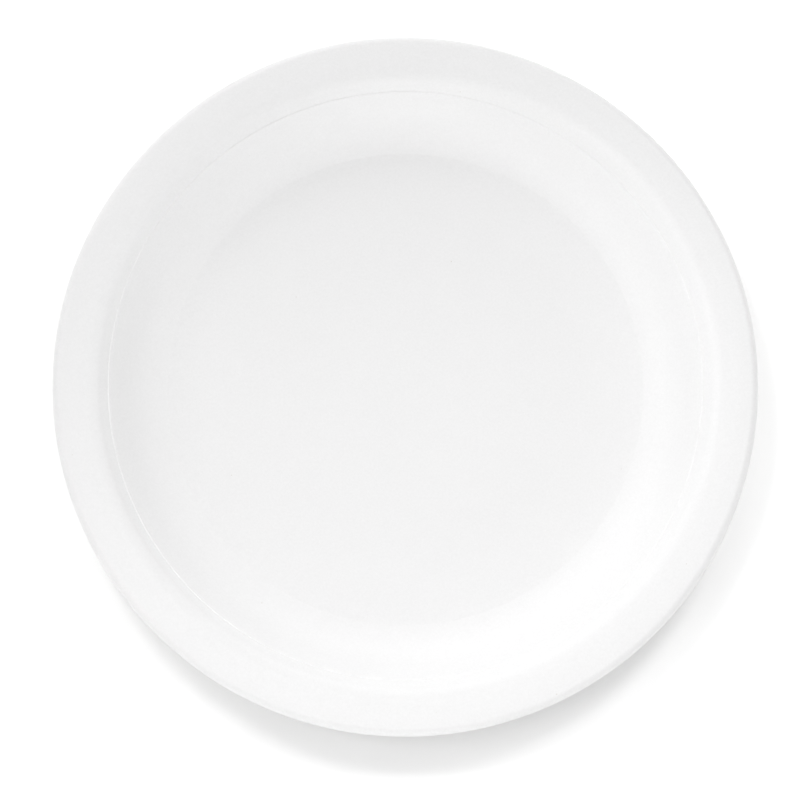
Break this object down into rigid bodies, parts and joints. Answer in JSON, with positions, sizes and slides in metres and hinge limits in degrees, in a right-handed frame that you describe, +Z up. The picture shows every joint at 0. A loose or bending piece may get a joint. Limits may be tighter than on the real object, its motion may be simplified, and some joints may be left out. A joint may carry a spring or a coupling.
{
  "type": "paper plate",
  "caption": "Round shallow plate of white fibre board: flat floor, curved side wall with a fine ledge, and a broad rim with a turned-down lip, to serve food on.",
  "frame": {"origin": "centre of the flat underside, on the plate's axis", "axes": "+Z up along the plate's axis, out of the food side; X and Y lie in the plane of the table"},
  "size_m": [0.23, 0.23, 0.019],
  "materials": {
    "board": "matte"
  },
  "bodies": {
    "root": {"plate": "board"}
  },
  "joints": []
}
